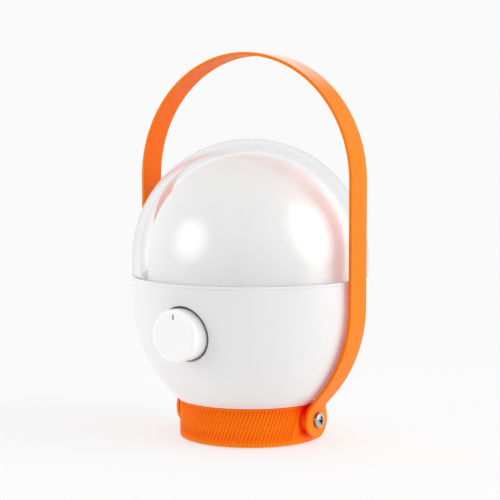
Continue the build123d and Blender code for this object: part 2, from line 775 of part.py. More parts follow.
with BuildPart() as collar_screws:
    for spot in on_circle(collar_screw_circle, collar_screw_angles):
        add(pan_screw(standing(spot, flange_bottom, up=False), **collar_screw))
collar_screws.part.label = "collar_screws"
export_step(collar_screws.part, "parts/collar_screws.step")

# ---------------------------------------------------------------- main board and port
board_radius = 17.0
with BuildPart() as main_board:
    with BuildSketch(Plane.XY.offset(board_z)):
        Circle(board_radius)
        with Locations((0, 10)):
            Rectangle(22, 20)
        with Locations((0, 12.5)):
            Rectangle(13, 25)
        with Locations(*on_circle(board_screw_circle, board_screw_angles)):
            Circle(board_screw["shank_radius"] + clearance, mode=Mode.SUBTRACT)
    extrude(amount=board_top - board_z)
main_board.part.label = "main_board"
export_step(main_board.part, "parts/main_board.step")

with BuildPart() as board_screws:
    for spot in on_circle(board_screw_circle, board_screw_angles):
        add(pan_screw(standing(spot, board_top), **board_screw))
board_screws.part.label = "board_screws"
export_step(board_screws.part, "parts/board_screws.step")

port_depth = 7.35
port_wall = 0.3
port_mouth_width = port_width - 2 * port_wall
port_mouth_height = port_height - 2 * port_wall
port_back = 1.8  # block that closes the socket and carries its tongue
tongue_size = (6.6, 0.7)
tongue_length = port_depth - 0.8
with BuildPart() as port_shell:
    with BuildSketch(Plane.XZ.offset(-port_y)):
        with Locations((0, port_z)):
            SlotOverall(port_width, port_height)
    extrude(amount=port_depth)
    with BuildSketch(Plane.XZ.offset(-port_y)):
        with Locations((0, port_z)):
            SlotOverall(port_mouth_width, port_mouth_height)
    extrude(amount=port_depth, mode=Mode.SUBTRACT)
port_shell.part.label = "port_shell"
export_step(port_shell.part, "parts/port_shell.step")

with BuildPart() as port_tongue:
    with BuildSketch(Plane.XZ.offset(-port_y + port_depth)):
        with Locations((0, port_z)):
            SlotOverall(port_mouth_width - 2 * slip, port_mouth_height - 2 * slip)
    extrude(amount=-port_back)
    with BuildSketch(Plane.XZ.offset(-port_y + port_depth)):
        with Locations((0, port_z)):
            Rectangle(*tongue_size)
    extrude(amount=-tongue_length)
port_tongue.part.label = "port_tongue"
export_step(port_tongue.part, "parts/port_tongue.step")

pipe_start_y = 19.8
pipe_length = 7.8
with BuildPart() as light_pipes:
    for pipe_side in (-pipe_x, pipe_x):
        with BuildSketch(Plane.XZ.offset(-pipe_start_y)):
            with Locations((pipe_side, port_z)):
                Circle(pipe_radius)
        extrude(amount=-pipe_length)
light_pipes.part.label = "light_pipes"
export_step(light_pipes.part, "parts/light_pipes.step")

charge_diode_y = 18.6
charge_diode_width = 1.6
charge_diode_height = 2.2
with BuildPart() as charge_diodes:
    with BuildSketch(Plane.XY.offset(board_top)):
        with Locations((-pipe_x, charge_diode_y), (pipe_x, charge_diode_y)):
            Rectangle(charge_diode_width, charge_diode_width)
    extrude(amount=charge_diode_height)
charge_diodes.part.label = "charge_diodes"
export_step(charge_diodes.part, "parts/charge_diodes.step")

inductor_width = 6.0
inductor_round = 1.2
inductor_height = 3.0
with BuildPart() as power_inductor:
    with BuildSketch(Plane.XY.offset(board_top)):
        with Locations((-7, -5)):
            RectangleRounded(inductor_width, inductor_width, inductor_round)
    extrude(amount=inductor_height)
power_inductor.part.label = "power_inductor"
export_step(power_inductor.part, "parts/power_inductor.step")

chip_height = 1.1
charger_chip = (5, 4)
small_chip = (3, 3)
with BuildPart() as board_chips:
    with BuildSketch(Plane.XY.offset(board_top)):
        with Locations((4, -6)):
            Rectangle(*charger_chip)
        with Locations((-4, 14), (8.5, 0)):
            Rectangle(*small_chip)
    extrude(amount=chip_height)
board_chips.part.label = "board_chips"
export_step(board_chips.part, "parts/board_chips.step")

capacitor_places = ((0, -11), (3.5, -11), (-11.5, 3), (-11.5, 0), (4, 14), (4, 17))
capacitor_size = (2.0, 1.25)
capacitor_height = 1.2
with BuildPart() as board_capacitors:
    with BuildSketch(Plane.XY.offset(board_top)):
        with Locations(*capacitor_places):
            Rectangle(*capacitor_size)
    extrude(amount=capacitor_height)
board_capacitors.part.label = "board_capacitors"
export_step(board_capacitors.part, "parts/board_capacitors.step")

connector_x = (-5.5, 0, 5.5)
connector_y = 5.0
connector_height = 3.4
connector_size = (4.6, 4.0)
with BuildPart() as wire_connectors:
    with BuildSketch(Plane.XY.offset(board_top)):
        with Locations(*[(x, connector_y) for x in connector_x]):
            Rectangle(*connector_size)
    extrude(amount=connector_height)
wire_connectors.part.label = "wire_connectors"
export_step(wire_connectors.part, "parts/wire_connectors.step")

# ---------------------------------------------------------------- leads inside the body
lead_radius = 0.5
connector_top = board_top + connector_height


def lead(points):
    """One insulated wire: straight runs joined by arcs as large as the shorter run allows."""
    corners = [Vector(*p) for p in points]
    radii = []
    for before, here, after in zip(corners, corners[1:], corners[2:]):
        turn = (here - before).get_angle(after - here)
        shorter = min((here - before).length, (after - here).length)
        radii.append(round(0.45 * shorter / tan(radians(turn / 2)), 3))
    with BuildPart() as wire:
        with BuildLine():
            route = FilletPolyline(*points, radius=radii)
        with BuildSketch(Plane(origin=route @ 0, z_dir=route % 0)):
            Circle(lead_radius)
        sweep()
    return wire.part


def dimmer_route(x):
    """From a dimmer terminal, under the battery tray and down through the bowl's floor."""
    start_y = plate_back_y + terminal_length
    return [
        (x, start_y, knob_z - terminal_drop),
        (x, start_y + 3.5, knob_z - terminal_drop),
        (x, -25.5, 29.0),
        (x, -20.0, 22.6),
        (0.6 * x, -8.0, 21.4),
        (0.6 * x, 2.0, 19.0),
        (0.6 * x, connector_y, connector_top + 3.0),
        (0.6 * x, connector_y, connector_top),
    ]


def battery_route(offset):
    """From the tray's underside, along the floor and down to the left connector."""
    return [
        (-22.0, offset, tray_z),
        (-22.0, offset, 24.0),
        (-15.0, offset + 1.0, 21.6),
        (-9.0, offset + 3.0, 20.9),
        (connector_x[0], connector_y + offset, 14.5),
        (connector_x[0], connector_y + offset, connector_top),
    ]


def light_route(offset):
    """From the light board through the deck, down beside the cells to the right connector."""
    return [
        (6.0 + offset, 21.6, light_board_top),
        (6.0 + offset, 21.6, light_board_top + 3.0),
        (7.2 + offset, 27.0, light_board_top + 1.8),
        (7.2 + offset, 27.4, 58.0),
        (7.0 + offset, 26.6, 42.0),
        (7.0 + offset, 25.0, 28.0),
        (6.6 + offset, 19.0, 22.4),
        (connector_x[2] + offset, 9.0, 20.4),
        (connector_x[2] + offset, connector_y, 14.0),
        (connector_x[2] + offset, connector_y, connector_top),
    ]


with BuildPart() as dimmer_leads:
    for x in (-terminal_spacing, 0, terminal_spacing):
        add(lead(dimmer_route(x)))
dimmer_leads.part.label = "dimmer_leads"
export_step(dimmer_leads.part, "parts/dimmer_leads.step")

with BuildPart() as battery_leads:
    for offset in (-0.9, 0.9):
        add(lead(battery_route(offset)))
battery_leads.part.label = "battery_leads"
export_step(battery_leads.part, "parts/battery_leads.step")

with BuildPart() as light_leads:
    for offset in (-0.8, 0.8):
        add(lead(light_route(offset)))
light_leads.part.label = "light_leads"
export_step(light_leads.part, "parts/light_leads.step")
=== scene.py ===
import bpy
import bmesh
import json
from math import acos, atan, cos, degrees, hypot, pi, radians, sin, sqrt, tan
from mathutils import Matrix, Vector


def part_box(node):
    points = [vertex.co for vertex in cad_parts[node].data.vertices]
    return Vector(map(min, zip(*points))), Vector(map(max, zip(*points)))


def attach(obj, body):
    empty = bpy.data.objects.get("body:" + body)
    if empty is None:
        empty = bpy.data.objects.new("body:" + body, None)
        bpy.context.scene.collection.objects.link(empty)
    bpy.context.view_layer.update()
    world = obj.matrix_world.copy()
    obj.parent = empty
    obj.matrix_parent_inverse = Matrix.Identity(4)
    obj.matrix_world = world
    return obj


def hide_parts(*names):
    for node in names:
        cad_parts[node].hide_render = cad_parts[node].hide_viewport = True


# Looks of a portable dome lantern: clear dome over a white diffuser, white bowl, ribbed orange collar and
# strap handle. Metres, Z up; the knob faces -Y and the handle turns about X.

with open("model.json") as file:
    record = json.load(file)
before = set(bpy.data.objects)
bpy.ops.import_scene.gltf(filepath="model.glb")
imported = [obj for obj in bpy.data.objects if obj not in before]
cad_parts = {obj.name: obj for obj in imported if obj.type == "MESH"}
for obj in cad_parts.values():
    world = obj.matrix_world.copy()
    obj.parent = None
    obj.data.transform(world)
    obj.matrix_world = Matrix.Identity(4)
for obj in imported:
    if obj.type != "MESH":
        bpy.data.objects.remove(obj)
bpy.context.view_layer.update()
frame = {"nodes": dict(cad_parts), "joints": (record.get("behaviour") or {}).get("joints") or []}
joint_at = {joint["name"]: Vector(joint["pos_m"]) for joint in frame["joints"]}
MM = 0.001
rim_height = 0.6 * MM  # the clear dome's rim, from its bottom edge up to its ledge
rim_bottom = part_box("dome_seal")[1].z
rim_top = rim_bottom + rim_height
body_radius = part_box("clear_dome")[1].x
dome_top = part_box("clear_dome")[1].z
dome_centre = dome_top - body_radius
strap_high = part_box("carry_strap")[1]
strap_arch = strap_high.z - strap_high.x  # height of the arch's centre

# ---------------------------------------------------------------- camera, floor and light

VIEW_AZIMUTH = radians(33.77)
VIEW_ELEVATION = radians(4.91)
VIEW_DISTANCE = 0.656
VIEW_AIM = Vector((0.0005, -0.0011, 0.0763))
toward_viewer = Vector((
    sin(VIEW_AZIMUTH) * cos(VIEW_ELEVATION),
    -cos(VIEW_AZIMUTH) * cos(VIEW_ELEVATION),
    sin(VIEW_ELEVATION),
))


def add_camera():
    data = bpy.data.cameras.new("camera")
    data.sensor_width = 36.0
    data.lens = 116.3
    data.clip_start = 0.01
    data.clip_end = 50.0
    camera = bpy.data.objects.new("camera", data)
    camera.location = VIEW_AIM + VIEW_DISTANCE * toward_viewer
    camera.rotation_euler = (-toward_viewer).to_track_quat("-Z", "Y").to_euler()
    bpy.context.scene.collection.objects.link(camera)
    bpy.context.scene.camera = camera


def node(tree, kind, inputs=None, **settings):
    """A shader node with its settings and plain input values; an input given as a socket is linked."""
    made = tree.nodes.new("ShaderNode" + kind)
    for key, value in settings.items():
        setattr(made, key, value)
    for key, value in (inputs or {}).items():
        if isinstance(value, bpy.types.NodeSocket):
            tree.links.new(value, made.inputs[key])
        else:
            made.inputs[key].default_value = value
    return made


def multiply(tree, first, second):
    return node(tree, "Math", {0: first, 1: second}, operation="MULTIPLY").outputs[0]


def add_room():
    """Brightest at the sides and behind, dimmer above and on the viewer's side. Looked at, it is white."""
    world = bpy.data.worlds.new("studio")
    world.use_nodes = True
    bpy.context.scene.world = world
    tree = world.node_tree
    tree.nodes.clear()
    direction = node(tree, "TexCoord").outputs["Generated"]
    flat_back = Vector((toward_viewer.x, toward_viewer.y, 0.0)).normalized()
    facing = node(tree, "VectorMath", {0: direction, 1: flat_back}, operation="DOT_PRODUCT")
    value = facing.outputs["Value"]
    front = node(tree, "MapRange", {
        "Value": value, "From Min": -0.35, "From Max": 0.75, "To Min": 1.08, "To Max": 0.66,
    }, interpolation_type="SMOOTHSTEP")
    behind = node(tree, "MapRange", {
        "Value": value, "From Min": -0.95, "From Max": -0.6, "To Min": 0.88, "To Max": 1.0,
    }, interpolation_type="SMOOTHSTEP")
    height = node(tree, "SeparateXYZ", {0: direction}).outputs["Z"]
    above = node(tree, "MapRange", {
        "Value": height, "From Min": 0.35, "From Max": 1.0, "To Min": 1.0, "To Max": 0.78,
    }, interpolation_type="SMOOTHSTEP")
    round_about = multiply(tree, front.outputs["Result"], behind.outputs["Result"])
    level = multiply(tree, round_about, above.outputs["Result"])
    ambient = node(tree, "Background", {"Color": (1, 1, 1, 1), "Strength": level})
    backdrop = node(tree, "Background", {"Color": (1, 1, 1, 1), "Strength": 0.955})
    path = node(tree, "LightPath")
    mix = node(tree, "MixShader", {
        0: path.outputs["Is Camera Ray"], 1: ambient.outputs[0], 2: backdrop.outputs[0],
    })
    node(tree, "OutputWorld", {"Surface": mix.outputs[0]})


def add_softbox(name, side_angle, elevation, distance, size, power):
    """Soft-edged square lamp, placed by its angle to the right of the viewer and its height angle."""
    right = Vector((cos(VIEW_AZIMUTH), sin(VIEW_AZIMUTH), 0.0))
    flat_back = Vector((toward_viewer.x, toward_viewer.y, 0.0)).normalized()
    flat = cos(radians(side_angle)) * flat_back + sin(radians(side_angle)) * right
    direction = cos(radians(elevation)) * flat + sin(radians(elevation)) * Vector((0.0, 0.0, 1.0))
    data = bpy.data.lights.new(name, "AREA")
    data.shape = "SQUARE"
    data.size = size
    data.energy = power
    data.use_nodes = True
    tree = data.node_tree
    tree.nodes.clear()
    spot = node(tree, "NewGeometry").outputs["Parametric"]
    reach = node(tree, "VectorMath", {0: spot, 1: (0.5, 0.5, 0.0)}, operation="DISTANCE")
    fade = node(tree, "MapRange", {
        "Value": reach.outputs["Value"], "From Min": 0.5, "From Max": 0.0, "To Min": 0.0, "To Max": 2.0,
    }, interpolation_type="SMOOTHERSTEP")
    glow = node(tree, "Emission", {"Strength": fade.outputs["Result"]})
    node(tree, "OutputLight", {"Surface": glow.outputs[0]})
    lamp = bpy.data.objects.new(name, data)
    centre = Vector((0.0, 0.0, 0.07))
    lamp.location = centre + distance * direction
    lamp.rotation_euler = (-direction).to_track_quat("-Z", "Y").to_euler()
    bpy.context.scene.collection.objects.link(lamp)


def add_floor():
    """White light-table floor, lit from inside, that fades into the backdrop away from the lantern."""
    mesh = bpy.data.meshes.new("floor")
    half = 1.0
    corners = [(-half, -half, 0), (half, -half, 0), (half, half, 0), (-half, half, 0)]
    mesh.from_pydata(corners, [], [(0, 1, 2, 3)])
    floor = bpy.data.objects.new("floor", mesh)
    bpy.context.scene.collection.objects.link(floor)
    paper = bpy.data.materials.new("paper")
    paper.use_nodes = True
    tree = paper.node_tree
    shader = tree.nodes["Principled BSDF"]
    shader.inputs["Base Color"].default_value = (0.35, 0.35, 0.35, 1)
    shader.inputs["Emission Color"].default_value = (1, 1, 1, 1)
    shader.inputs["Emission Strength"].default_value = 0.6
    shader.inputs["Roughness"].default_value = 0.9
    shader.inputs["Specular IOR Level"].default_value = 0.1
    here = node(tree, "TexCoord").outputs["Object"]
    away = node(tree, "VectorMath", {0: here}, operation="LENGTH").outputs["Value"]
    fade = node(tree, "MapRange", {
        "Value": away, "From Min": 0.03, "From Max": 0.3, "To Min": 0.0, "To Max": 1.0,
    }, interpolation_type="SMOOTHSTEP")
    clear = node(tree, "BsdfTransparent")
    mix = node(tree, "MixShader", {0: fade.outputs["Result"], 1: shader.outputs[0], 2: clear.outputs[0]})
    tree.links.new(mix.outputs[0], tree.nodes["Material Output"].inputs["Surface"])
    mesh.materials.append(paper)


# ---------------------------------------------------------------- materials


def start_material(name):
    material = bpy.data.materials.new(name)
    material.use_nodes = True
    tree = material.node_tree
    return material, tree, tree.nodes["Principled BSDF"]


def set_inputs(shader, values):
    for key, value in values.items():
        shader.inputs[key].default_value = value


def place(tree, stretch=(1, 1, 1)):
    """The piece's own coordinates in metres, stretched where a pattern has a direction."""
    where = node(tree, "TexCoord").outputs["Object"]
    return node(tree, "Mapping", {"Vector": where, "Scale": stretch}).outputs["Vector"]


def noise(tree, size, detail=2.0, stretch=(1, 1, 1), roughness=0.5):
    """Cloudy pattern from 0 to 1 whose patches are about this many metres across."""
    made = node(tree, "TexNoise", {
        "Vector": place(tree, stretch), "Scale": 1.0 / size, "Detail": detail, "Roughness": roughness,
    })
    return made.outputs["Fac"]


def spread(tree, value, low, high, start=0.3, stop=0.7):
    made = node(tree, "MapRange", {
        "Value": value, "From Min": start, "From Max": stop, "To Min": low, "To Max": high,
    })
    return made.outputs["Result"]


def blend_colours(tree, factor, first, second):
    made = node(tree, "Mix", {0: factor, 6: (*first, 1), 7: (*second, 1)}, data_type="RGBA")
    return made.outputs[2]


def turn_to(tree, amount, shade, colour):
    """A shade that turns to a plain colour where the amount is 1."""
    return node(tree, "Mix", {0: amount, 6: shade, 7: (*colour, 1)}, data_type="RGBA").outputs[2]


def raise_surface(tree, height, depth, strength=1.0, under=None):
    """Normal of a surface whose relief is this many metres deep."""
    inputs = {"Height": height, "Distance": depth, "Strength": strength}
    if under is not None:
        inputs["Normal"] = under
    return node(tree, "Bump", inputs).outputs["Normal"]


def mix_shaders(tree, amount, first, second):
    return node(tree, "MixShader", {0: amount, 1: first.outputs[0], 2: second.outputs[0]})


def paint_crevice_shade(tree, colour, painted_shade, reach, full, none, above=-1.0):
    """Painted shade: colour that turns darker and deeper where other faces stand close by, standing in for
    the shade there and for light that has bounced off them. Full and none are the openness where the
    painted shade is full and where it starts. It fades out below a height."""
    fade = 3 * MM
    openness = node(tree, "AmbientOcclusion", {"Distance": reach}, samples=8).outputs["AO"]
    height = node(tree, "SeparateXYZ", {0: place(tree)}).outputs["Z"]
    off_table = spread(tree, height, 0.0, 1.0, above, above + fade)
    closed = spread(tree, openness, 1.0, 0.0, full, none)
    return turn_to(tree, multiply(tree, closed, off_table), colour, painted_shade)


def faces_lantern(tree):
    """1 on the side of the strap that faces the lantern, 0 on its outer side: where the painted shade of
    the strap's inner side goes.
    """
    where = node(tree, "TexCoord")
    centre = (0, 0, strap_arch)
    arm = node(tree, "VectorMath", {0: where.outputs["Object"], 1: centre}, operation="SUBTRACT").outputs[0]
    outward = node(tree, "VectorMath", {0: arm, 1: where.outputs["Normal"]}, operation="DOT_PRODUCT")
    return spread(tree, outward.outputs["Value"], 1.0, 0.0, -1.0 * MM, 1.0 * MM)


def sheen_from_above(tree):
    """1 where a side that faces up is seen at a slant: where a painted sheen goes, standing in for the
    bright room that a satin skin shows there.
    """
    upward = node(tree, "SeparateXYZ", {0: node(tree, "TexCoord").outputs["Normal"]}).outputs["Z"]
    under_sky = spread(tree, upward, 0.0, 1.0, 0.2, 0.7)
    facing = node(tree, "LayerWeight").outputs["Facing"]
    return multiply(tree, under_sky, spread(tree, facing, 0.0, 1.0, 0.64, 0.92))


MIRRORED = 0.2  # how much of a piece that lets light through shows in the gloss of others


def moulded(name, colour, roughness, grain=0.0004, relief=4e-6, mottle=0.02, painted_shade=None, inner=None,
            slanting=None, lets_through=None, **plain):
    """Injection-moulded plastic: faint flow mottle, uneven polish and the grain that the mould leaves. Its
    painted-shade settings, if given, darken the colour in creases and between parts. Inner is a painted
    shade, a shaded copy of the colour on the side that faces the lantern, and slanting is a painted sheen,
    a paler colour where an upward side is seen at a slant. A soft thin piece lets light through, tinted by
    its colour."""
    material, tree, shader = start_material(name)
    dark = tuple(c * (1 - mottle) for c in colour)
    light = tuple(min(1.0, c * (1 + mottle)) for c in colour)
    link = tree.links.new
    shade = blend_colours(tree, spread(tree, noise(tree, 0.018), 0, 1), dark, light)
    # painted sheen: paler colour where an upward side is seen at a slant
    if slanting is not None:
        shade = turn_to(tree, sheen_from_above(tree), shade, slanting)
    # painted shade: a shaded copy of the colour on the side that faces the lantern
    if inner is not None:
        shade = turn_to(tree, faces_lantern(tree), shade, inner)
    # painted shade: darker colour in creases and between parts
    if painted_shade is not None:
        shade = paint_crevice_shade(tree, shade, **painted_shade)
    link(shade, shader.inputs["Base Color"])
    polish = spread(tree, noise(tree, 0.006, 3.0), roughness * 0.85, roughness * 1.15)
    link(polish, shader.inputs["Roughness"])
    fine = raise_surface(tree, noise(tree, grain, 1.0), relief)
    link(fine, shader.inputs["Normal"])
    set_inputs(shader, plain)
    if lets_through is not None:
        path = node(tree, "LightPath").outputs
        fainter = spread(tree, path["Glossy Depth"], 0.0, 1.0 - MIRRORED, 0.0, 1.0)
        seen = mix_shaders(tree, fainter, shader, node(tree, "BsdfTransparent"))
        tinted = node(tree, "BsdfTransparent", {"Color": (*lets_through, 1)})
        whole = mix_shaders(tree, path["Is Shadow Ray"], seen, tinted)
        link(whole.outputs[0], tree.nodes["Material Output"].inputs["Surface"])
    return material


def glossy_white(name, colour, roughness, painted_shade=None):
    """Polished white shell: long soft waves from cooling, a few hairlines and a clear glossy skin. Its
    painted-shade settings, if given, darken the colour in creases and between parts."""
    material, tree, shader = start_material(name)
    link = tree.links.new
    dark = tuple(c * 0.985 for c in colour)
    shade = blend_colours(tree, spread(tree, noise(tree, 0.03), 0, 1), dark, colour)
    # painted shade: darker colour in creases and between parts
    if painted_shade is not None:
        shade = paint_crevice_shade(tree, shade, **painted_shade)
    link(shade, shader.inputs["Base Color"])
    hairlines = noise(tree, 0.0006, 2.0, stretch=(0.25, 0.25, 3.0), roughness=0.7)
    link(spread(tree, hairlines, roughness, roughness * 2.0, 0.55, 0.8), shader.inputs["Roughness"])
    waves = raise_surface(tree, noise(tree, 0.012, 1.0), 6e-6)
    link(waves, shader.inputs["Normal"])
    set_inputs(shader, {"IOR": 1.5, "Coat Weight": 0.35, "Coat Roughness": 0.04})
    return material


def clear_plastic(name):
    """Thick clear plastic with a frosted white rim at the seam. A painted shade greys its outer skin at a
    slant, most where the wall's inner edge shows, and eases off right at the outline. Lamps shine through
    it, so what is inside is lit."""
    clear_tint = (0.99, 0.993, 0.993)
    edge_shade_tint = (0.75, 0.755, 0.755)
    material, tree, shader = start_material(name)
    set_inputs(shader, {"Transmission Weight": 1.0, "IOR": 1.49})
    from_centre = node(tree, "VectorMath", {0: place(tree), 1: (0, 0, dome_centre)}, operation="DISTANCE")
    away = from_centre.outputs["Value"]
    on_skin = spread(tree, away, 0.0, 1.0, body_radius - 1.5 * MM, body_radius - 0.5 * MM)
    # painted shade: grey on the outer skin at a slant, lighter again right at the outline
    facing = node(tree, "LayerWeight").outputs["Facing"]
    slanting = spread(tree, facing, 0.0, 1.0, 0.51, 0.565)
    lighter_outline = spread(tree, facing, 0.0, -0.5, 0.64, 0.75)
    edge_shade = node(tree, "Math", {0: slanting, 1: lighter_outline}, operation="ADD").outputs[0]
    tint = blend_colours(tree, multiply(tree, on_skin, edge_shade), clear_tint, edge_shade_tint)
    tree.links.new(tint, shader.inputs["Base Color"])
    wear = noise(tree, 0.0009, 3.0, stretch=(0.4, 0.4, 1.6), roughness=0.75)
    tree.links.new(spread(tree, wear, 0.0, 0.004, 0.52, 0.85), shader.inputs["Roughness"])
    tree.links.new(raise_surface(tree, noise(tree, 0.02, 1.0), 4e-6), shader.inputs["Normal"])
    open_way = node(tree, "BsdfTransparent", {"Color": (0.98, 0.982, 0.982, 1)})
    is_shadow = node(tree, "LightPath").outputs["Is Shadow Ray"]
    clear = mix_shaders(tree, is_shadow, shader, open_way)
    height = node(tree, "SeparateXYZ", {0: place(tree)}).outputs["Z"]
    on_rim = spread(tree, height, 1.0, 0.0, rim_top + 0.1 * MM, rim_top + 0.15 * MM)
    frosted = node(tree, "BsdfDiffuse", {"Color": (0.9, 0.9, 0.9, 1), "Roughness": 0.5})
    whole = mix_shaders(tree, on_rim, clear, frosted)
    tree.links.new(whole.outputs[0], tree.nodes["Material Output"].inputs["Surface"])
    return material


def opal(name):
    """Satin white diffuser: fine etched grain and a faint soft sheen."""
    material, tree, shader = start_material(name)
    link = tree.links.new
    patches = spread(tree, noise(tree, 0.02), 0, 1)
    shade = blend_colours(tree, patches, (0.93, 0.928, 0.926), (0.95, 0.948, 0.946))
    link(shade, shader.inputs["Base Color"])
    link(spread(tree, noise(tree, 0.002, 3.0), 0.36, 0.42), shader.inputs["Roughness"])
    link(raise_surface(tree, noise(tree, 0.00025, 1.0), 5e-6), shader.inputs["Normal"])
    set_inputs(shader, {"IOR": 1.5, "Sheen Weight": 0.05})
    return material


def metal(name, colour, roughness, brushed=(1, 1, 1), relief=2e-6, tarnish=0.06, crevice_shade=None):
    """Bare or plated metal: drawn or turned marks, uneven polish and slight tarnish. Its painted-shade
    settings, if given, darken the colour in tight corners and between parts."""
    material, tree, shader = start_material(name)
    link = tree.links.new
    dull = tuple(c * (1 - tarnish) for c in colour)
    shade = blend_colours(tree, spread(tree, noise(tree, 0.0015, 3.0), 0, 1), dull, colour)
    # painted shade: darker colour in tight corners and between parts
    if crevice_shade is not None:
        shade = paint_crevice_shade(tree, shade, **crevice_shade)
    link(shade, shader.inputs["Base Color"])
    marks = noise(tree, 0.0004, 3.0, brushed)
    link(spread(tree, marks, roughness * 0.7, roughness * 1.4), shader.inputs["Roughness"])
    link(raise_surface(tree, noise(tree, 0.00012, 2.0, brushed), relief), shader.inputs["Normal"])
    set_inputs(shader, {"Metallic": 1.0})
    return material


def circuit_board(name):
    """Green solder mask over copper runs, which stand slightly proud and show lighter."""
    material, tree, shader = start_material(name)
    link = tree.links.new
    tracks = {"Vector": place(tree), "Scale": 550.0}
    cells = node(tree, "TexVoronoi", tracks, feature="DISTANCE_TO_EDGE", distance="EUCLIDEAN")
    runs = spread(tree, cells.outputs["Distance"], 1.0, 0.0, 0.08, 0.12)
    link(blend_colours(tree, runs, (0.008, 0.09, 0.03), (0.02, 0.2, 0.06)), shader.inputs["Base Color"])
    link(spread(tree, noise(tree, 0.001), 0.25, 0.4), shader.inputs["Roughness"])
    link(raise_surface(tree, runs, 2e-5), shader.inputs["Normal"])
    return material


def cell_sleeve(name):
    """Shrink sleeve of a battery cell: soft sheen, with the small wrinkles that shrinking leaves."""
    material, tree, shader = start_material(name)
    link = tree.links.new
    shade = blend_colours(tree, noise(tree, 0.01), (0.01, 0.12, 0.2), (0.014, 0.15, 0.25))
    link(shade, shader.inputs["Base Color"])
    link(spread(tree, noise(tree, 0.002), 0.25, 0.4), shader.inputs["Roughness"])
    link(raise_surface(tree, noise(tree, 0.0015, 3.0, (0.2, 1, 1)), 4e-5), shader.inputs["Normal"])
    return material


ORANGE = (0.9, 0.197, 0.004)
STRAP_ORANGE = (0.94, 0.215, 0.004)
# painted shade: the red-orange that stands in for shade in creases and between parts
CREVICE_SHADE_ORANGE = (0.88, 0.008, 0.001)
# painted shade: the darker orange of the strap's side that faces the lantern
SHADED_SIDE_ORANGE = (0.99, 0.16, 0.003)
# painted sheen: the pale orange of an upward side seen at a slant
PAINTED_SHEEN_ORANGE = (1.0, 0.82, 0.72)
WARM_GLOSS = {"Specular IOR Level": 0.25, "Specular Tint": (1.0, 0.4, 0.15, 1)}
materials = {
    "clear_plastic": clear_plastic("clear_plastic"),
    "seal_rubber": moulded("seal_rubber", (0.88, 0.88, 0.88), 0.6, grain=0.0003, relief=8e-6),
    "opal_plastic": opal("opal_plastic"),
    "white_shell": glossy_white("white_shell", (0.84, 0.835, 0.835), 0.08),
    # painted shade: the knob's skirt turns grey towards the pocket in the bowl
    "white_knob": glossy_white("white_knob", (0.97, 0.965, 0.965), 0.14,
                               painted_shade=dict(painted_shade=(0.4, 0.398, 0.398), reach=0.01, full=0.4, none=0.99)),
    "grey_mark": moulded("grey_mark", (0.3, 0.3, 0.31), 0.5, grain=0.0002),
    # painted shade: deeper red-orange in the rib grooves and in the gap beside the strap's lugs
    "orange_collar": moulded("orange_collar", ORANGE, 0.42, grain=0.00035, relief=3e-6, mottle=0.03,
                             painted_shade=dict(painted_shade=CREVICE_SHADE_ORANGE, reach=0.007, full=0.55, none=0.86, above=0.002),
                             **WARM_GLOSS),
    # painted shade in close corners and on the side facing the lantern, and a painted sheen on upward sides
    # seen at a slant
    "orange_strap": moulded("orange_strap", STRAP_ORANGE, 0.48, grain=0.0003, relief=8e-6, mottle=0.03,
                            painted_shade=dict(painted_shade=CREVICE_SHADE_ORANGE, reach=0.006, full=0.35, none=0.85),
                            inner=SHADED_SIDE_ORANGE, slanting=PAINTED_SHEEN_ORANGE, lets_through=(0.98, 0.71, 0.65),
                            **WARM_GLOSS),
    "cover_plastic": moulded("cover_plastic", (0.5, 0.5, 0.5), 0.45, relief=1.5e-5),
    "foot_rubber": moulded("foot_rubber", (0.12, 0.12, 0.125), 0.75, grain=0.0005, relief=2e-5),
    "nylon": moulded("nylon", (0.6, 0.58, 0.52), 0.4),
    "white_inner": moulded("white_inner", (0.78, 0.78, 0.78), 0.35),
    "tray_plastic": moulded("tray_plastic", (0.05, 0.05, 0.055), 0.5, relief=1e-5),
    "connector_white": moulded("connector_white", (0.7, 0.68, 0.62), 0.4),
    "chip_black": moulded("chip_black", (0.02, 0.02, 0.022), 0.5, grain=0.00008, relief=4e-6),
    "port_black": moulded("port_black", (0.03, 0.03, 0.03), 0.45, grain=0.0001),
    "ferrite": moulded("ferrite", (0.09, 0.09, 0.095), 0.6, grain=0.00015, relief=1.2e-5, mottle=0.15),
    "ceramic": moulded("ceramic", (0.42, 0.3, 0.18), 0.45, grain=0.0001, mottle=0.08),
    "diode": moulded("diode", (0.82, 0.74, 0.3), 0.3, grain=0.0002, mottle=0.05),
    "lead_sleeve": moulded("lead_sleeve", (0.45, 0.03, 0.02), 0.4, grain=0.0006, mottle=0.05),
    "pipe_clear": moulded("pipe_clear", (0.8, 0.82, 0.82), 0.2, grain=0.0003, mottle=0.02),
    # painted shade: near-black in the tight corners round the screw heads
    "plated_steel": metal("plated_steel", (0.54, 0.53, 0.52), 0.16,
                          crevice_shade=dict(painted_shade=(0.03, 0.03, 0.03), reach=0.002, full=0.45, none=0.95)),
    "zinc_steel": metal("zinc_steel", (0.66, 0.67, 0.69), 0.32, tarnish=0.15),
    "brass": metal("brass", (0.78, 0.56, 0.26), 0.3),
    "dimmer_metal": metal("dimmer_metal", (0.7, 0.69, 0.66), 0.3, brushed=(1, 4, 1)),
    "dimmer_shell": metal("dimmer_shell", (0.6, 0.6, 0.61), 0.4, brushed=(1, 1, 4)),
    "tinned_pin": metal("tinned_pin", (0.75, 0.75, 0.74), 0.35),
    "light_board_metal": metal("light_board_metal", (0.86, 0.86, 0.86), 0.5),
    "nickel": metal("nickel", (0.68, 0.66, 0.62), 0.28, brushed=(1, 0.2, 1)),
    "port_steel": metal("port_steel", (0.62, 0.62, 0.63), 0.25),
    "board_green": circuit_board("board_green"),
    "cell_sleeve": cell_sleeve("cell_sleeve"),
}


